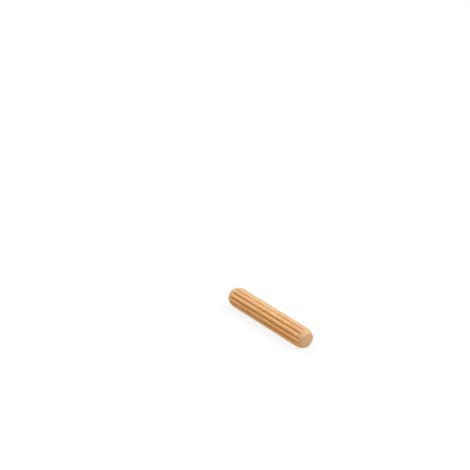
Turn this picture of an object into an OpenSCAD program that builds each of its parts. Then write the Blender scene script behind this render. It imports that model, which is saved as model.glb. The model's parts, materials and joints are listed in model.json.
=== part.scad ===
// Fluted dowel pin: a round beech peg that is glued into two drilled holes, half its length in each.
// Sizes are in millimetres. The pin lies along X with its middle at the origin and +Z up. One flute
// faces straight down, so the pin rests on the two lands beside it.

/* [Pin] */
// Diameter over the lands, which is the size of the hole it is driven into
pin_d = 8; // [6:0.5:12]
// Length between the two end faces
pin_length = 40; // [25:1:80]

/* [Flutes] */
// Number of flutes round the pin
flute_count = 12; // [8:1:16]
// Width of a flute where it opens between two lands
flute_width = 0.5; // [0.45:0.05:0.8]
// Depth of a flute below the lands
flute_depth = 0.4; // [0.34:0.02:0.6]
// Radius of the rounded bottom of a flute
flute_bottom_r = 0.08; // [0.05:0.01:0.11]
// Radius of the softened edge between a flute and a land
flute_shoulder_r = 0.1; // [0.05:0.01:0.12]

/* [Ends] */
// Length of the chamfer along the pin at each end
chamfer_length = 2.6; // [1.6:0.1:4]
// How far the chamfer comes in towards the axis by the end face
chamfer_depth = 1.2; // [0.9:0.1:1.8]
// How far the worn chamfer swells outside a straight cone
chamfer_swell = 0.14; // [0.06:0.01:0.3]
// Radius of the softened edge between a chamfer and an end face
face_edge_r = 0.4; // [0.2:0.05:0.7]

/* [Hidden] */
$fn = 144;
// How far cutting shapes reach past the surface that they cut
overcut = 1;

pin_r = pin_d / 2;
half_length = pin_length / 2;

// Chamfer, in the half section through the axis: x is the radius and y is the place along the pin.
// It is an arc from the rim of the end face to the end of the lands.
chamfer_inner = [pin_r - chamfer_depth, half_length];
chamfer_outer = [pin_r, half_length - chamfer_length];
chamfer_chord = norm(chamfer_outer - chamfer_inner);
chamfer_r = (pow(chamfer_chord / 2, 2) + pow(chamfer_swell, 2)) / (2 * chamfer_swell);
chamfer_outward = [chamfer_length, chamfer_depth] / chamfer_chord;
chamfer_centre = (chamfer_inner + chamfer_outer) / 2 - (chamfer_r - chamfer_swell) * chamfer_outward;

// Softened rim of the end face: a small arc inside the chamfer's arc that meets the flat face.
rim_reach = chamfer_r - face_edge_r;
rim_rise = half_length - face_edge_r - chamfer_centre[1];
rim_centre = chamfer_centre + [sqrt(pow(rim_reach, 2) - pow(rim_rise, 2)), rim_rise];
rim_on_face = [rim_centre[0], half_length];
rim_on_chamfer = chamfer_centre + (rim_centre - chamfer_centre) * chamfer_r / rim_reach;

// Flute, in the cross section: the flute is centred on +Y and its right half is worked out.
// A straight flank joins the round bottom to the round shoulder and touches both.
land_edge_angle = asin(flute_width / 2 / pin_r);
land_edge = pin_r * [sin(land_edge_angle), cos(land_edge_angle)];
shoulder_centre = land_edge * (pin_r - flute_shoulder_r) / pin_r;
bottom_centre = [0, pin_r - flute_depth + flute_bottom_r];
bottom_to_shoulder = shoulder_centre - bottom_centre;
flank_angle = atan2(bottom_to_shoulder[1], bottom_to_shoulder[0])
    - acos((flute_bottom_r + flute_shoulder_r) / norm(bottom_to_shoulder));
flank_outward = [cos(flank_angle), sin(flank_angle)];
flank_foot = bottom_centre + flute_bottom_r * flank_outward;
flank_head = shoulder_centre - flute_shoulder_r * flank_outward;

// The point p on the other side of the line x = 0.
function across(p) = [-p[0], p[1]];

// What the turned end leaves: everything outside the chamfer's arc and outside the softened rim.
module end_waste() {
    corner = [chamfer_inner[0] - overcut, chamfer_outer[1] - overcut];
    difference() {
        translate(corner)
            square([chamfer_depth, chamfer_length] + [2, 2] * overcut);
        translate(chamfer_centre)
            circle(r = chamfer_r);
    }
    difference() {
        polygon([
            rim_on_chamfer,
            [pin_r, rim_on_chamfer[1]],
            [pin_r, half_length + overcut],
            [rim_on_face[0], half_length + overcut],
            rim_on_face,
        ]);
        translate(rim_centre)
            circle(r = face_edge_r);
    }
}

// Half section of the pin as it is turned, before it is fluted. Along the lands it reaches past the
// section, which cuts them to size.
module turned_profile() {
    difference() {
        translate([0, -half_length])
            square([pin_r + overcut / 2, pin_length]);
        end_waste();
        mirror([0, 1])
            end_waste();
    }
}

// Cross section of what one flute removes.
module flute_profile() {
    mouth = land_edge * (pin_r + overcut) / pin_r;
    difference() {
        polygon([
            flank_foot, flank_head, land_edge, mouth,
            across(mouth), across(land_edge), across(flank_head), across(flank_foot),
        ]);
        for (centre = [shoulder_centre, across(shoulder_centre)])
            translate(centre)
                circle(r = flute_shoulder_r);
    }
    translate(bottom_centre)
        circle(r = flute_bottom_r);
}

// Cross section of the fluted pin, with the first flute straight down.
module fluted_section() {
    difference() {
        circle(r = pin_r);
        for (i = [0 : flute_count - 1])
            rotate(180 + i * 360 / flute_count)
                flute_profile();
    }
}

// The flutes run the whole length and come out on the chamfers.
module dowel_pin() {
    color([0.89, 0.71, 0.50])
    rotate([90, 0, 90])
    intersection() {
        linear_extrude(pin_length + 2 * overcut, center = true)
            fluted_section();
        rotate_extrude()
            turned_profile();
    }
}

dowel_pin();
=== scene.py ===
"""Looks of a fluted beech dowel pin that lies on a pale bench top.

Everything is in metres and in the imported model's frame: the pin lies along X with its middle at the
origin, +Z is up, and one flute faces straight down. The pin is turned from a half outline, its flutes
are pressed in, and one solid wood pattern runs through it, so that the grain on its sides and the
end grain on its faces belong together.
"""
from __future__ import annotations

import json
import logging
import math
from dataclasses import dataclass, field

import bmesh
import bpy
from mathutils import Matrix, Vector, noise


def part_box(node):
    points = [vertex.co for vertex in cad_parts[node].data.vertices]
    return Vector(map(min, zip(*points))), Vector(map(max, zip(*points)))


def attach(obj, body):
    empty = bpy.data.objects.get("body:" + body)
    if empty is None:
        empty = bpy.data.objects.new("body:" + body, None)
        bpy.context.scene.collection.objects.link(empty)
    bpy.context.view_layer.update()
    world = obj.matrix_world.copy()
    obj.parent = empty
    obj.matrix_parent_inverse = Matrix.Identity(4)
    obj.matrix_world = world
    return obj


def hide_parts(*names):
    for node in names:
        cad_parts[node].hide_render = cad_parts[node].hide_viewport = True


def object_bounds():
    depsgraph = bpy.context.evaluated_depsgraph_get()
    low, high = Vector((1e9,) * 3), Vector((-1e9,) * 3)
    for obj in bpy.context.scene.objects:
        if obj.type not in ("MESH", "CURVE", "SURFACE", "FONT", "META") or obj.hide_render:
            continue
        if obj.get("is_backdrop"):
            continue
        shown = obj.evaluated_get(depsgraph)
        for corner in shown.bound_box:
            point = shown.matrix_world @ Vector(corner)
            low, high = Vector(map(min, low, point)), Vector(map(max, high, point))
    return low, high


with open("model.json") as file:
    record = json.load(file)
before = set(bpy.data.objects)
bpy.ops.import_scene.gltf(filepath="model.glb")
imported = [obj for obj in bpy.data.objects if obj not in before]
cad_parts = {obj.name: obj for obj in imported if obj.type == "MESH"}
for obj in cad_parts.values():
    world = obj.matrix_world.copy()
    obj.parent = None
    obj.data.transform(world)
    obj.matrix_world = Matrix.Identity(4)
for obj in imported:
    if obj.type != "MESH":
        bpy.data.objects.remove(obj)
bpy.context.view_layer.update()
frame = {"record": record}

MM = 0.001
# Points of a mesh that are closer than this are made one
WELD = 0.001 * MM
TURN = 2 * math.pi
# Width and height of the picture that the camera is framed for
IMAGE_PX = 470

log = logging.getLogger("dowel_pin")

# Red, green and blue in linear light
Colour = tuple[float, float, float]
# Where something that changes smoothly begins, and where it is full
Span = tuple[float, float]
WHITE = (1.0, 1.0, 1.0, 1.0)


# ---------------------------------------------------------------------------------------------------
# Shader maths
# ---------------------------------------------------------------------------------------------------


class Value:
    """A number that varies over a surface: an output socket that takes part in Python expressions."""

    def __init__(self, graph: Graph, socket: bpy.types.NodeSocket) -> None:
        """Keeps the graph that the socket belongs to, and the socket."""
        self.graph = graph
        self.socket = socket

    def __add__(self, other: Value | float) -> Value:
        """This plus other."""
        return self.graph.maths("ADD", self, other)

    def __radd__(self, other: float) -> Value:
        """A number plus this."""
        return self.graph.maths("ADD", other, self)

    def __sub__(self, other: Value | float) -> Value:
        """This less other."""
        return self.graph.maths("SUBTRACT", self, other)

    def __rsub__(self, other: float) -> Value:
        """A number less this."""
        return self.graph.maths("SUBTRACT", other, self)

    def __mul__(self, other: Value | float) -> Value:
        """This times other."""
        return self.graph.maths("MULTIPLY", self, other)

    def __rmul__(self, other: float) -> Value:
        """A number times this."""
        return self.graph.maths("MULTIPLY", other, self)

    def __truediv__(self, other: Value | float) -> Value:
        """This over other."""
        return self.graph.maths("DIVIDE", self, other)

    def __pow__(self, power: float) -> Value:
        """This to a power."""
        return self.graph.maths("POWER", self, power)


class Graph:
    """The node tree of a material or a world, with short ways to add to it."""

    def __init__(self, owner: bpy.types.Material | bpy.types.World) -> None:
        """Takes the owner's node tree and empties it."""
        owner.use_nodes = True
        self.tree = owner.node_tree
        self.tree.nodes.clear()

    def node(self, kind: str, settings: dict[str, object],
             sockets: dict[str | int, object]) -> bpy.types.Node:
        """Adds a node.

        Args:
            kind: Blender's name of the node type.
            settings: What to set on the node before its sockets are filled.
            sockets: For each input, by its identifier, name or number, a Value, a socket or a constant.

        Returns:
            The new node.
        """
        node = self.tree.nodes.new(kind)
        for name, setting in settings.items():
            setattr(node, name, setting)
        by_name = {s.name: s for s in reversed(node.inputs)} | {s.identifier: s for s in node.inputs}
        for key, source in sockets.items():
            target = node.inputs[key] if isinstance(key, int) else by_name[key]
            if isinstance(source, Value):
                source = source.socket
            if isinstance(source, bpy.types.NodeSocket):
                self.tree.links.new(source, target)
            else:
                target.default_value = source
        return node

    def value(self, node: bpy.types.Node, output: str | int = 0) -> Value:
        """One output of a node, as a Value."""
        return Value(self, node.outputs[output])

    def maths(self, operation: str, *operands: Value | float) -> Value:
        """The result of one Math node."""
        sockets = dict(enumerate(operands))
        return self.value(self.node("ShaderNodeMath", {"operation": operation}, sockets))

    def place(self) -> tuple[Value, Value, Value]:
        """Reads where each point of a piece lies.

        Returns:
            The point's x, y and z in the piece's own coordinates, in metres.
        """
        coordinates = self.node("ShaderNodeTexCoord", {}, {}).outputs["Object"]
        split = self.node("ShaderNodeSeparateXYZ", {}, {"Vector": coordinates})
        x, y, z = (self.value(split, axis) for axis in "XYZ")
        return x, y, z

    def join(self, x: Value | float, y: Value | float, z: Value | float) -> bpy.types.NodeSocket:
        """A vector made of three values."""
        return self.node("ShaderNodeCombineXYZ", {}, {"X": x, "Y": y, "Z": z}).outputs[0]

    def mark(self, name: str) -> Value:
        """A number that the mesh carries at each point."""
        return self.value(self.node("ShaderNodeAttribute", {"attribute_name": name}, {}), "Fac")

    def noise(self, place: bpy.types.NodeSocket, detail: float = 1.0) -> Value:
        """Soft noise from 0 to 1 with about one lump to each unit of place."""
        sockets = {"Vector": place, "Scale": 1.0, "Detail": detail, "Roughness": 0.5}
        return self.value(self.node("ShaderNodeTexNoise", {"noise_dimensions": "3D"}, sockets))

    def spots(self, place: bpy.types.NodeSocket) -> Value:
        """The distance to the nearest of a scatter of points, about one to each unit of place."""
        settings = {"voronoi_dimensions": "3D", "feature": "F1"}
        return self.value(self.node("ShaderNodeTexVoronoi", settings, {"Vector": place, "Scale": 1.0}))

    def ramp(self, value: Value, span: Span) -> Value:
        """A smooth change from 0 at the span's first value to 1 at its second, which may be the smaller."""
        sockets = {"Value": value, "From Min": span[0], "From Max": span[1], "To Min": 0.0, "To Max": 1.0}
        return self.value(self.node("ShaderNodeMapRange", {"interpolation_type": "SMOOTHSTEP"}, sockets))

    def mix(self, share: Value | float, first: object, second: object) -> bpy.types.NodeSocket:
        """Blends two colours.

        Args:
            share: How much of the second colour the blend has, from 0 to 1.
            first: A colour or a socket.
            second: A colour or a socket.

        Returns:
            The blend.
        """
        colours = [(*c, 1.0) if isinstance(c, tuple) else c for c in (first, second)]
        sockets = {"Factor_Float": share, "A_Color": colours[0], "B_Color": colours[1]}
        return self.node("ShaderNodeMix", {"data_type": "RGBA"}, sockets).outputs[2]


# ---------------------------------------------------------------------------------------------------
# Wood
# ---------------------------------------------------------------------------------------------------


@dataclass(frozen=True)
class Pith:
    """The middle of the tree, as the pin sees it, and how the grain sways. Lengths are in millimetres."""

    y: float = -21.0
    z: float = 33.0
    sway: float = 1.4
    sway_length: float = 26.0
    sway_width: float = 9.0
    sway_up: float = 0.6


@dataclass(frozen=True)
class Log:
    """The tree that the pin was cut from, as places in it. Lengths are in millimetres."""

    graph: Graph
    along: Value
    around: Value
    out: Value

    @classmethod
    def of(cls, graph: Graph, pith: Pith) -> Log:
        """Works out where each point of a piece lay in its tree.

        Args:
            graph: The material that asks.
            pith: Where the middle of the tree was.

        Returns:
            The places.
        """
        x, y, z = (place / MM for place in graph.place())
        lumps = graph.join(x / pith.sway_length, y / pith.sway_width, z / pith.sway_width)
        wander = (graph.noise(lumps) - 0.5) * pith.sway
        across, up = y - pith.y + wander, z - pith.z + wander * pith.sway_up
        out = (across * across + up * up) ** 0.5
        bearing = graph.maths("ARCTAN2", up, across) - math.atan2(-pith.z, -pith.y)
        return cls(graph, x, bearing * math.hypot(pith.y, pith.z), out)


@dataclass(frozen=True)
class Lumps:
    """Soft lumps in the wood, drawn by noise. The span says how much noise begins a lump and fills it.

    A lump's size is in millimetres: along the grain, round the tree and out from its pith.
    """

    along: float
    around: float
    out: float
    span: Span = (0.0, 1.0)
    detail: float = 1.0
    shift: float = 0.0

    def place(self, tree: Log) -> bpy.types.NodeSocket:
        """Where each point lies in the wood, counted in lumps."""
        return tree.graph.join(tree.along / self.along + self.shift, tree.around / self.around,
                               tree.out / self.out)

    def noise(self, tree: Log) -> Value:
        """The bare noise, from 0 to 1."""
        return tree.graph.noise(self.place(tree), self.detail)

    def on(self, tree: Log) -> Value:
        """How strong the lumps are at a point, from 0 to 1."""
        return tree.graph.ramp(self.noise(tree), self.span)


@dataclass(frozen=True)
class Specks(Lumps):
    """Small spots in the wood, one round each point of a scatter. The span is of distances from it."""

    def noise(self, tree: Log) -> Value:
        """The distance to the nearest point of the scatter, in spots."""
        return tree.graph.spots(self.place(tree))


@dataclass(frozen=True)
class Rings:
    """The years' growth, which darkens towards the end of each year. Lengths are in millimetres.

    The wobble is in years, and the spans are shares of a year's growth.
    """

    width: float = 1.7
    wobble: float = 0.5
    wobbles: Lumps = Lumps(along=40, around=3, out=3)
    darkening: Span = (0.40, 0.93)
    ending: Span = (1.0, 0.94)

    def late(self, tree: Log) -> Value:
        """How dark the late wood is at a point, from 0 to 1."""
        g = tree.graph
        age = g.maths("FRACT", tree.out / self.width + self.wobbles.noise(tree) * self.wobble)
        return g.ramp(age, self.darkening) * g.ramp(age, self.ending)


# How far the fibres draw out the edges of the rays
RAGGED = 0.25


@dataclass(frozen=True)
class Figure:
    """The figure of beech: how strong each of its marks is at a point, from 0 to 1."""

    cloud: Value
    streak: Value
    blush: Value
    late: Value
    fibre: Value
    vessel: Value
    ray: Value
    pore: Value
    spoke: Value

    @classmethod
    def of(cls, tree: Log, rings: Rings) -> Figure:
        """Draws the figure through the wood.

        Clouds, streaks and blushes are broad; fibres and vessel lines are fine; rays are short dark
        flecks with ragged edges on the sides, and spokes on the faces, where the vessels show as pores.

        Args:
            tree: Where each point lay in its tree.
            rings: How the tree grew.

        Returns:
            The marks.
        """
        fibre = Lumps(along=5, around=0.16, out=0.16, detail=2.0).noise(tree)
        rays = Specks(along=2.4, around=0.30, out=0.70, span=(0.34, 0.18))
        return cls(
            cloud=Lumps(along=9, around=1.7, out=1.7, span=(0.34, 0.66), detail=2.0, shift=25.2).on(tree),
            streak=Lumps(along=14, around=0.55, out=0.55, span=(0.36, 0.66), detail=2.0, shift=49.2).on(tree),
            blush=Lumps(along=11, around=3, out=3, span=(0.40, 0.62), shift=7.0).on(tree),
            late=rings.late(tree),
            fibre=fibre,
            vessel=Lumps(along=2.2, around=0.085, out=0.085, span=(0.58, 0.70)).on(tree),
            ray=tree.graph.ramp(rays.noise(tree) + (fibre - 0.5) * RAGGED, rays.span),
            pore=Specks(along=3.0, around=0.15, out=0.15, span=(0.30, 0.16)).on(tree),
            spoke=Lumps(along=9, around=0.13, out=4.0, span=(0.56, 0.66)).on(tree),
        )


# Where each part of the ends begins and is full, by how far it cuts across the grain, from 0 to 1.
CHAMFER_CUT: Span = (0.06, 0.22)
RIM_CUT: Span = (0.50, 0.72)
FACE_CUT: Span = (0.72, 0.96)


@dataclass(frozen=True)
class Tooling:
    """What the tools did to the surface at a point, from 0 to 1."""

    flute: Value
    bevelled: Value
    rim: Value
    faced: Value
    fluff: Value

    @classmethod
    def of(cls, tree: Log) -> Tooling:
        """Reads the marks that the mesh carries, and roughens what is cut across the grain.

        Args:
            tree: Where each point lay in its tree.

        Returns:
            The marks.
        """
        g = tree.graph
        cut = g.mark("cut")
        faced = g.ramp(cut, FACE_CUT)
        return cls(
            flute=g.mark("flute"),
            bevelled=g.ramp(cut, CHAMFER_CUT),
            rim=g.ramp(cut, RIM_CUT) * (1 - faced),
            faced=faced,
            fluff=Lumps(along=0.7, around=0.30, out=0.30, span=(0.35, 0.70), detail=2.0).on(tree),
        )


@dataclass(frozen=True)
class BareBeech:
    """Bare sanded beech: one block of wood that the pin is cut from. Lengths are in millimetres.

    Each share says how much of its own colour a mark brings where it is strongest. The shaded side and the
    sheen side are spans of the way round the tree: the amber there is painted warm shade on the pin's lower
    front side, and the pale grey is a painted sheen on its upper side. The crushed colour darkens the flute
    bottoms, partly as crushed wood and partly as painted shade. The last numbers are how far each mark of
    the grain stands out of the surface or is sunk in it.
    """

    pale: Colour = (0.96, 0.625, 0.325)
    tan: Colour = (0.77, 0.370, 0.085)
    pink: Colour = (0.93, 0.550, 0.310)
    # painted warm shade: amber for the pin's lower front side
    shade_amber: Colour = (0.99, 0.430, 0.078)
    # painted sheen: a paler, greyer colour for the pin's upper side
    top_sheen: Colour = (0.78, 0.590, 0.370)
    fleck: Colour = (0.48, 0.205, 0.062)
    # flute bottoms: partly crushed wood, partly painted shade
    crushed_shade: Colour = (0.47, 0.168, 0.004)
    scraped: Colour = (0.77, 0.485, 0.250)
    end_pale: Colour = (0.83, 0.525, 0.285)
    end_dark: Colour = (0.53, 0.275, 0.130)

    cloud_share: float = 0.60
    streak_share: float = 0.40
    blush_share: float = 0.50
    late_share: float = 0.30
    fibre_share: float = 0.40
    vessel_share: float = 0.35
    ray_share: float = 0.50
    scraped_share: float = 0.50
    fluff_share: float = 0.40
    # how strong the painted warm shade is on the lower front side
    shade_amber_share: float = 0.55
    # how strong the painted sheen is on the upper side
    top_sheen_share: float = 0.45
    rim_share: float = 0.60
    # how strong the flute darkening is, partly crushed wood and partly painted shade
    crushed_shade_share: float = 0.90
    end_late_share: float = 0.50
    end_cloud_share: float = 0.25
    pore_share: float = 0.30
    spoke_share: float = 0.30

    fibre_span: Span = (0.42, 0.72)
    # where round the tree the painted warm shade lies
    shaded_side: Span = (1.0, -5.0)
    # where round the tree the painted sheen lies
    sheen_side: Span = (0.5, 4.5)
    flute_span: Span = (0.05, 0.90)

    pith: Pith = Pith()
    rings: Rings = Rings()

    roughness: float = 0.52
    fibre_roughness: float = 0.20
    bevel_roughness: float = 0.15
    flute_roughness: float = 0.05
    refraction: float = 1.45
    gloss: float = 0.35
    sheen: float = 0.12
    sheen_roughness: float = 0.45

    fibre_height: float = 0.022
    vessel_sink: float = 0.016
    ray_sink: float = 0.010
    scraped_flat: float = 0.6
    torn_height: float = 0.012
    pore_sink: float = 0.016

    def dress(self, piece: bpy.types.Object) -> None:
        """Gives the piece this wood."""
        piece.data.materials.append(self.material())

    def material(self) -> bpy.types.Material:
        """Builds the wood as a solid pattern that runs through the piece.

        Returns:
            The material.
        """
        made = bpy.data.materials.new("bare_beech")
        g = Graph(made)
        tree = Log.of(g, self.pith)
        figure, tooling = Figure.of(tree, self.rings), Tooling.of(tree)
        rubbed = tooling.bevelled * self.bevel_roughness + tooling.flute * self.flute_roughness
        bump = g.node("ShaderNodeBump", {}, {
            "Height": self.relief(figure, tooling) * MM,
            "Strength": 1.0,
            "Distance": 1.0,
        })
        shader = g.node("ShaderNodeBsdfPrincipled", {}, {
            "Base Color": g.mix(tooling.faced, self.side(tree, figure, tooling), self.end(g, figure)),
            "Roughness": self.roughness + (figure.fibre - 0.5) * self.fibre_roughness + rubbed,
            "IOR": self.refraction,
            "Specular IOR Level": self.gloss,
            "Sheen Weight": self.sheen,
            "Sheen Roughness": self.sheen_roughness,
            "Normal": bump.outputs[0],
        })
        g.node("ShaderNodeOutputMaterial", {}, {"Surface": shader.outputs[0]})
        return made

    def side(self, tree: Log, figure: Figure, tooling: Tooling) -> bpy.types.NodeSocket:
        """The colour of the sides.

        The chamfers are scraped across the grain and their rims are darker. The lower front side is amber,
        which is painted warm shade, the upper side is paler and greyer, which is a painted sheen, and the
        flutes are darker at the bottom, partly as crushed wood and partly as painted shade.

        Args:
            tree: Where each point lay in its tree.
            figure: The wood's own marks.
            tooling: The marks of the tools.

        Returns:
            The colour.
        """
        g = tree.graph
        tanned = figure.cloud * self.cloud_share + figure.streak * self.streak_share
        colour = g.mix(tanned, self.pale, self.tan)
        colour = g.mix(figure.blush * self.blush_share, colour, self.pink)
        colour = g.mix(figure.late * self.late_share, colour, self.tan)
        colour = g.mix(g.ramp(figure.fibre, self.fibre_span) * self.fibre_share, colour, self.tan)
        scraping = tooling.bevelled * (self.scraped_share + tooling.fluff * self.fluff_share)
        colour = g.mix(scraping, colour, self.scraped)
        # painted warm shade: amber on the pin's lower front side
        colour = g.mix(g.ramp(tree.around, self.shaded_side) * self.shade_amber_share, colour, self.shade_amber)
        # painted sheen: paler and greyer on the pin's upper side
        top_sheen_weight = g.ramp(tree.around, self.sheen_side) * self.top_sheen_share
        colour = g.mix(top_sheen_weight, colour, self.top_sheen)
        uncut = 1 - scraping
        colour = g.mix(figure.vessel * uncut * self.vessel_share, colour, self.fleck)
        colour = g.mix(figure.ray * uncut * self.ray_share, colour, self.fleck)
        # the rims between the chamfers and the faces are darker, in the dark end colour
        colour = g.mix(tooling.rim * self.rim_share, colour, self.end_dark)
        # flute bottoms darkened: partly crushed wood, partly painted shade
        return g.mix(g.ramp(tooling.flute, self.flute_span) * self.crushed_shade_share, colour, self.crushed_shade)

    def end(self, g: Graph, figure: Figure) -> bpy.types.NodeSocket:
        """The colour of the faces, where rings, pores and rays show end on.

        Args:
            g: The material's graph.
            figure: The wood's own marks.

        Returns:
            The colour.
        """
        ringed = figure.late * self.end_late_share + figure.cloud * self.end_cloud_share
        colour = g.mix(ringed, self.end_pale, self.end_dark)
        colour = g.mix(figure.pore * self.pore_share, colour, self.end_dark)
        return g.mix(figure.spoke * self.spoke_share, colour, self.end_dark)

    def relief(self, figure: Figure, tooling: Tooling) -> Value:
        """The fine grain that can be felt, which is scraped flatter on the chamfers.

        Args:
            figure: The wood's own marks.
            tooling: The marks of the tools.

        Returns:
            How far it stands out of the surface, in millimetres.
        """
        grain = figure.fibre * self.fibre_height
        grain = grain - figure.vessel * self.vessel_sink - figure.ray * self.ray_sink
        torn = tooling.fluff * tooling.bevelled * self.torn_height
        sunk = (figure.pore + figure.spoke) * tooling.faced * self.pore_sink
        return grain * (1 - tooling.bevelled * self.scraped_flat) + torn - sunk


# ---------------------------------------------------------------------------------------------------
# The pin
# ---------------------------------------------------------------------------------------------------


def uneven(place: Vector, shift: float) -> float:
    """Smooth noise from about -1 to 1 with one lump to each unit of place, another one for each shift."""
    return noise.noise(place + Vector((shift, shift, shift)))


def wave(phase: float) -> float:
    """A smooth wave that is 0 at a phase of 0, 1 half a turn later and 0 again after a turn."""
    return 0.5 - 0.5 * math.cos(phase)


@dataclass(frozen=True)
class TurnedBlank:
    """The round blank with its chamfered ends, before it is fluted. Lengths are in metres."""

    length: float
    radius: float
    chamfer_length: float = 2.6 * MM
    chamfer_depth: float = 1.2 * MM
    chamfer_swell: float = 0.14 * MM
    rim_radius: float = 0.4 * MM
    turn_steps: int = 288
    land_steps: int = 60
    chamfer_steps: int = 36
    rim_steps: int = 6
    face_steps: int = 24

    @property
    def half(self) -> float:
        """Half the length of the pin."""
        return self.length / 2

    def make(self) -> bmesh.types.BMesh:
        """Turns the half outline into a closed round blank, as on a lathe.

        Returns:
            The mesh.
        """
        mesh = bmesh.new()
        self.outline(mesh)
        bmesh.ops.mirror(mesh, geom=[*mesh.verts, *mesh.edges], axis="X", merge_dist=WELD)
        bmesh.ops.remove_doubles(mesh, verts=mesh.verts, dist=WELD)
        bmesh.ops.spin(mesh, geom=[*mesh.verts, *mesh.edges], cent=(0, 0, 0), axis=(1, 0, 0),
                       angle=TURN, steps=self.turn_steps, use_merge=True)
        bmesh.ops.remove_doubles(mesh, verts=mesh.verts, dist=WELD)
        bmesh.ops.recalc_face_normals(mesh, faces=mesh.faces)
        mesh.normal_update()
        return mesh

    def outline(self, mesh: bmesh.types.BMesh) -> None:
        """Draws the near half of the outline, from the middle of the end face to the middle of the pin.

        The chamfer is an arc that swells a little, and the rim of the face is a small arc that runs
        into both.

        Args:
            mesh: The empty mesh to draw in. The outline lies in the XZ plane, with Z as its radius.
        """
        inner = Vector((self.half, 0, self.radius - self.chamfer_depth))
        outer = Vector((self.half - self.chamfer_length, 0, self.radius))
        chord = (outer - inner).length
        chamfer_radius = ((chord / 2) ** 2 + self.chamfer_swell ** 2) / (2 * self.chamfer_swell)
        outward = Vector((self.chamfer_depth, 0, self.chamfer_length)) / chord
        chamfer_centre = (inner + outer) / 2 - (chamfer_radius - self.chamfer_swell) * outward
        reach = chamfer_radius - self.rim_radius
        rim_x = self.half - self.rim_radius
        rim_z = chamfer_centre.z + math.sqrt(reach ** 2 - (rim_x - chamfer_centre.x) ** 2)
        rim_centre = Vector((rim_x, 0, rim_z))
        to_rim = rim_centre - chamfer_centre
        to_outer = outer - chamfer_centre
        rim_turn = math.atan2(to_rim.z, to_rim.x)
        chamfer_turn = math.atan2(to_outer.z, to_outer.x) - rim_turn

        tip = bmesh.ops.create_vert(mesh, co=(self.half, 0, 0))["vert"][0]
        tip = self.draw_line(mesh, tip, Vector((0, 0, rim_z)), self.face_steps)
        tip = self.draw_arc(mesh, tip, rim_centre, rim_turn, self.rim_steps)
        tip = self.draw_arc(mesh, tip, chamfer_centre, chamfer_turn, self.chamfer_steps)
        self.draw_line(mesh, tip, Vector((-outer.x, 0, 0)), self.land_steps)

    @staticmethod
    def draw_line(mesh: bmesh.types.BMesh, tip: bmesh.types.BMVert, path: Vector,
                  steps: int) -> bmesh.types.BMVert:
        """Extends the outline from its tip by a straight line.

        Args:
            mesh: The mesh that holds the outline.
            tip: The outline's last vertex.
            path: How far the line goes, and which way.
            steps: How many edges it has.

        Returns:
            The new tip.
        """
        for _ in range(steps):
            drawn = bmesh.ops.extrude_vert_indiv(mesh, verts=[tip])["verts"]
            bmesh.ops.translate(mesh, verts=drawn, vec=path / steps)
            tip = drawn[0]
        return tip

    @staticmethod
    def draw_arc(mesh: bmesh.types.BMesh, tip: bmesh.types.BMVert, centre: Vector, angle: float,
                 steps: int) -> bmesh.types.BMVert:
        """Extends the outline from its tip by an arc.

        Args:
            mesh: The mesh that holds the outline.
            tip: The outline's last vertex.
            centre: The arc's centre.
            angle: How far the arc turns from X towards Z.
            steps: How many edges it has.

        Returns:
            The new tip.
        """
        swept = bmesh.ops.spin(mesh, geom=[tip], cent=centre, axis=(0, -1, 0), angle=angle, steps=steps)
        return next(v for v in swept["geom_last"] if isinstance(v, bmesh.types.BMVert))


@dataclass(frozen=True)
class CutEnds:
    """The marks of the saw on the faces and of the chamfering cutter round them. Lengths are in metres.

    The saw's bearing is in degrees and its sway in radians of its pitch. A slope is how far the surface
    cuts across the grain, from 0 to 1.
    """

    saw_pitch: float = 0.55 * MM
    saw_depth: float = 0.018 * MM
    saw_bearing: float = 35.0
    saw_sway: float = 2.0
    sway_length: float = 2.5 * MM
    cutter_pitch: float = 0.42 * MM
    cutter_depth: float = 0.010 * MM
    torn_depth: float = 0.020 * MM
    torn_length: float = 0.32 * MM
    least_slope: float = 0.05
    chamfer_slope: float = 0.3
    face_slope: float = 0.6
    end_seed: float = 9.0

    def mark(self, mesh: bmesh.types.BMesh) -> None:
        """Sinks the marks into the blank, and marks each point with how far it cuts across the grain.

        The attribute cut is 0 where the surface runs along the grain and 1 where it is cut straight
        across.

        Args:
            mesh: The turned blank.
        """
        cut_mark = mesh.verts.layers.float.new("cut")
        bearing = math.radians(self.saw_bearing)
        sunk = []
        for vert in mesh.verts:
            across = abs(vert.normal.x)
            vert[cut_mark] = across
            if across < self.least_slope:
                continue
            end = math.copysign(self.end_seed, vert.co.x)
            stroke = vert.co.y * math.cos(bearing) + vert.co.z * math.sin(bearing)
            sway = self.saw_sway * uneven(vert.co / self.sway_length, end)
            saw = self.saw_depth * wave(TURN * stroke / self.saw_pitch + sway)
            cutter = self.cutter_depth * wave(TURN * vert.co.x / self.cutter_pitch)
            torn = max(0.0, uneven(Vector((0, vert.co.y, vert.co.z)) / self.torn_length, end))
            flat = max(0.0, across - self.face_slope) / (1 - self.face_slope)
            bevelled = (1 - flat) * min(1.0, across / self.chamfer_slope)
            depth = flat * saw + bevelled * cutter + torn * across * self.torn_depth
            sunk.append((vert, vert.co - vert.normal * depth))
        for vert, place in sunk:
            vert.co = place


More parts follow.
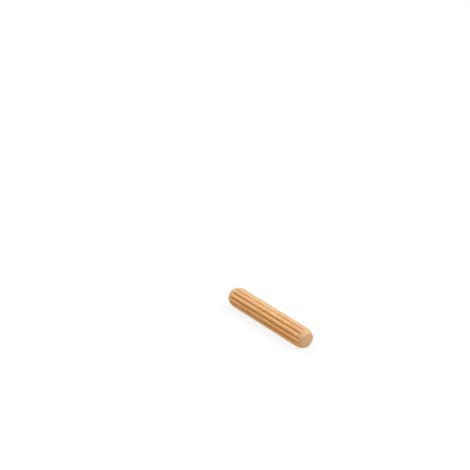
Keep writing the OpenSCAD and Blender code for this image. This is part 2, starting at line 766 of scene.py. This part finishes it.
@dataclass(frozen=True)
class PressedFlutes:
    """Straight flutes that are pressed along the blank, and leave rounded ridges. Lengths are in metres.

    Angles are in degrees round the pin, from straight down towards +Y. The lean turns all the flutes,
    and the twist turns them further towards +X and back towards -X. The rolls bite deepest at the bite
    bearing, and the fading makes the flutes shallower towards +X. The sharpness makes their flanks
    steeper. The crown is how far a ridge falls from its middle to the flute. The crowding draws the
    points of the mesh into the flutes, where the form is finest. Uneven pressing comes in lumps, and
    each kind of it has its own seed and fineness.
    """

    count: int = 12
    lean: float = 4.0
    twist: float = -2.3
    depth: float = 0.40 * MM
    half_width: float = 0.29 * MM
    sharpness: float = 2.6
    crown: float = 0.08 * MM
    crowding: float = 0.5
    bite: float = 0.30
    bite_bearing: float = -60.0
    fading: float = 0.05
    wander: float = 0.035 * MM
    width_variation: float = 0.25
    depth_variation: float = 0.41
    lump: float = 8.0 * MM
    lumps_apart: float = 5.3
    width_fineness: float = 1.7
    depth_fineness: float = 0.65
    wander_seed: float = 2.0
    width_seed: float = 30.0
    depth_seed: float = 110.8
    ripple_seed: float = 90.0
    ripple: float = 0.012 * MM
    ripple_length: float = 2.5 * MM
    ripple_width: float = 0.45 * MM

    def press(self, mesh: bmesh.types.BMesh, radius: float, half: float) -> None:
        """Presses the flutes, and marks each point with how deep in a flute it lies.

        The attribute flute is 0 on a ridge and 1 at the bottom of a flute.

        Args:
            mesh: The blank.
            radius: The radius over the ridges.
            half: Half the length of the blank.
        """
        flute_mark = mesh.verts.layers.float.new("flute")
        pitch = TURN / self.count
        for vert in mesh.verts:
            turned = math.hypot(vert.co.y, vert.co.z)
            if turned < radius / 2:
                continue
            lean = math.radians(self.lean + self.twist * vert.co.x / half)
            angle = math.atan2(vert.co.y, -vert.co.z) - lean
            angle -= self.crowding * math.sin(angle * self.count) / self.count
            number = round(angle / pitch)
            along = Vector((vert.co.x / self.lump, self.lumps_apart * (number % self.count), 0))
            from_flute = (angle / pitch - number) * pitch * radius
            widened = 1 + self.width_variation * uneven(along * self.width_fineness, self.width_seed)
            width = self.half_width * widened
            bent = from_flute - self.wander * uneven(along, self.wander_seed)
            share = 1 / (1 + abs(bent / width) ** self.sharpness)
            depth = self.depth_at(along, angle + lean) * (1 - self.fading * vert.co.x / half)
            fall = self.crown * (1 - abs(from_flute) / (pitch * radius / 2)) ** 2
            surface = Vector((vert.co.x / self.ripple_length, angle * radius / self.ripple_width, 0))
            rippled = self.ripple * (1 - uneven(surface, self.ripple_seed))
            pressed = radius - fall - depth * share - rippled
            sunk = max(0.0, min(1.0, (turned - pressed) / depth))
            vert[flute_mark] = share * min(1.0, depth / self.depth) * sunk ** 2
            vert.co.y = min(turned, pressed) * math.sin(angle + lean)
            vert.co.z = -min(turned, pressed) * math.cos(angle + lean)

    def depth_at(self, along: Vector, bearing: float) -> float:
        """How deep a flute is pressed at a place along it.

        Args:
            along: The place, in lumps, with the flute's own offset.
            bearing: Where the place lies round the pin, in radians.

        Returns:
            The depth, in metres.
        """
        lumpy = 1 + self.depth_variation * uneven(along * self.depth_fineness, self.depth_seed)
        bitten = 1 + self.bite * math.cos(bearing - math.radians(self.bite_bearing))
        return self.depth * lumpy * bitten


@dataclass(frozen=True)
class DowelPin:
    """The whole pin: a turned blank with marked ends and pressed flutes, in one piece of wood."""

    blank: TurnedBlank
    ends: CutEnds = field(default_factory=CutEnds)
    flutes: PressedFlutes = field(default_factory=PressedFlutes)
    wood: BareBeech = field(default_factory=BareBeech)

    def make(self) -> bpy.types.Object:
        """Builds the pin and dresses it.

        Returns:
            The finished piece.
        """
        mesh = self.blank.make()
        self.ends.mark(mesh)
        self.flutes.press(mesh, self.blank.radius, self.blank.half)
        data = bpy.data.meshes.new("fluted_pin")
        mesh.to_mesh(data)
        mesh.free()
        data.shade_smooth()
        piece = bpy.data.objects.new("fluted_pin", data)
        bpy.context.scene.collection.objects.link(piece)
        self.wood.dress(piece)
        return piece


# ---------------------------------------------------------------------------------------------------
# Bench top, light and camera
# ---------------------------------------------------------------------------------------------------


def seen_directly(graph: Graph) -> Value:
    """Tells the rays that see a thing from those that only carry its light.

    Args:
        graph: The material or world that asks.

    Returns:
        1 for a ray from the camera, a mirror or glass, and 0 for any other.
    """
    path = graph.node("ShaderNodeLightPath", {}, {})
    camera, mirrored, passed = (
        graph.value(path, f"Is {kind} Ray") for kind in ("Camera", "Glossy", "Transmission")
    )
    return graph.maths("MAXIMUM", graph.maths("MAXIMUM", camera, mirrored), passed)


@dataclass(frozen=True)
class PaleBenchTop:
    """A plain pale surface, white to the eye, that keeps the pin's soft shadow. Lengths are in metres.

    The glow is how much of the white that the eye sees doesn't come from the lamps. It rises to 1 with
    the distance from the pin, so that the far edge of the bench top meets the white backdrop.
    """

    level: float
    side: float = 4.0
    albedo: float = 0.70
    glow: float = 0.86
    lit_reach: float = 0.10
    white_reach: float = 0.35

    def make(self) -> bpy.types.Object:
        """Lays the bench top just under the pin.

        Returns:
            The bench top.
        """
        mesh = bmesh.new()
        bmesh.ops.create_grid(mesh, x_segments=1, y_segments=1, size=self.side / 2)
        bmesh.ops.translate(mesh, verts=mesh.verts, vec=(0, 0, self.level))
        data = bpy.data.meshes.new("bench_top")
        mesh.to_mesh(data)
        mesh.free()
        top = bpy.data.objects.new("bench_top", data)
        bpy.context.scene.collection.objects.link(top)
        top.data.materials.append(self.material())
        top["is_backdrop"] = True
        return top

    def material(self) -> bpy.types.Material:
        """Builds a matt white that the eye sees a little lifted, so that it meets the white backdrop.

        Returns:
            The material.
        """
        made = bpy.data.materials.new("pale_bench_top")
        g = Graph(made)
        seen = seen_directly(g)
        x, y, _ = g.place()
        away = g.ramp((x * x + y * y) ** 0.5, (self.lit_reach, self.white_reach))
        glow = seen * (self.glow + away * (1 - self.glow))
        grey = (self.albedo, self.albedo, self.albedo)
        matt = g.node("ShaderNodeBsdfDiffuse", {}, {"Color": g.mix(seen, grey, WHITE[:3])})
        lift = g.node("ShaderNodeEmission", {}, {"Color": WHITE, "Strength": 1.0})
        both = g.node("ShaderNodeMixShader", {}, {0: glow, 1: matt.outputs[0], 2: lift.outputs[0]})
        g.node("ShaderNodeOutputMaterial", {}, {"Surface": both.outputs[0]})
        return made


@dataclass(frozen=True)
class SoftLamp:
    """A broad round lamp that faces the pin. Lengths are in metres.

    The level is how bright a white surface turns when it faces the lamp.
    """

    level: float
    bearing: float
    height: float
    size: float = 0.8
    distance: float = 1.2

    def make(self) -> None:
        """Hangs the lamp on its bearing, at its height above the horizon in degrees."""
        bearing, height = math.radians(self.bearing), math.radians(self.height)
        back = Vector((math.cos(bearing) * math.cos(height), math.sin(bearing) * math.cos(height),
                       math.sin(height)))
        lamp = bpy.data.lights.new("soft_lamp", "AREA")
        lamp.shape = "DISK"
        lamp.size = self.size
        lamp.energy = self.level * math.pi ** 2 * ((self.size / 2) ** 2 + self.distance ** 2)
        hung = bpy.data.objects.new("soft_lamp", lamp)
        hung.location = back * self.distance
        hung.rotation_euler = back.to_track_quat("Z", "Y").to_euler()
        bpy.context.scene.collection.objects.link(hung)


@dataclass(frozen=True)
class SoftStudio:
    """An even room light, with a soft lamp high behind the pin on each side."""

    room: float = 0.44
    right: SoftLamp = SoftLamp(level=0.50, bearing=45.0, height=50.0)
    left: SoftLamp = SoftLamp(level=0.39, bearing=180.0, height=50.0)

    def make(self) -> None:
        """Lights the scene."""
        world = bpy.data.worlds.new("room")
        bpy.context.scene.world = world
        g = Graph(world)
        plain, white = (
            g.node("ShaderNodeBackground", {}, {"Color": WHITE, "Strength": level}).outputs[0]
            for level in (self.room, 1.0)
        )
        both = g.node("ShaderNodeMixShader", {}, {0: seen_directly(g), 1: plain, 2: white})
        g.node("ShaderNodeOutputWorld", {}, {"Surface": both.outputs[0]})
        self.right.make()
        self.left.make()


@dataclass(frozen=True)
class BenchCamera:
    """A long lens that looks down on the bench, with the pin low and right of the picture's middle.

    Angles are in degrees, the sensor in millimetres and the distances in metres. The pin's middle falls
    on the pixel given.
    """

    azimuth: float = 46.6
    elevation: float = 33.2
    distance: float = 0.47
    pin_px_x: float = 269.8
    pin_px_y: float = 317.15
    px_per_mm: float = 2.64
    sensor: float = 36.0
    nearest: float = 0.01
    farthest: float = 20.0

    def make(self) -> None:
        """Places the camera so that the pin's middle falls on its pixel, and makes it the scene's."""
        a, e = math.radians(self.azimuth), math.radians(self.elevation)
        back = Vector((math.sin(a) * math.cos(e), -math.cos(a) * math.cos(e), math.sin(e)))
        right = Vector((math.cos(a), math.sin(a), 0))
        up = back.cross(right)
        px = MM / self.px_per_mm
        aim = ((self.pin_px_y - IMAGE_PX / 2) * up - (self.pin_px_x - IMAGE_PX / 2) * right) * px
        data = bpy.data.cameras.new("bench_camera")
        data.sensor_width = self.sensor
        data.lens = self.sensor * self.distance / (IMAGE_PX * px)
        data.clip_start, data.clip_end = self.nearest, self.farthest
        camera = bpy.data.objects.new("bench_camera", data)
        camera.location = aim + back * self.distance
        camera.rotation_euler = back.to_track_quat("Z", "Y").to_euler()
        bpy.context.scene.collection.objects.link(camera)
        bpy.context.scene.camera = camera


def shank_radius() -> float:
    """Looks up the radius over the ridges.

    Returns:
        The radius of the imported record's shank mount, in metres.
    """
    shank = next(mount for mount in frame["record"]["mounts"] if mount["name"] == "shank")
    return shank["dims"]["r_mm"] * MM


def main() -> None:
    """Builds the pin, lays it on the bench top, and lights and frames it."""
    logging.basicConfig(level=logging.INFO, format="%(name)s: %(message)s")
    bpy.context.scene.view_settings.view_transform = "Standard"
    low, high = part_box("dowel_pin")
    pin = DowelPin(TurnedBlank(length=high.x - low.x, radius=shank_radius())).make()
    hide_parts("dowel_pin")
    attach(pin, "root")
    log.info("%s: %d faces", pin.name, len(pin.data.polygons))
    pin_low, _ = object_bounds()
    PaleBenchTop(level=pin_low.z).make()
    SoftStudio().make()
    BenchCamera().make()


if __name__ == "__main__":
    main()
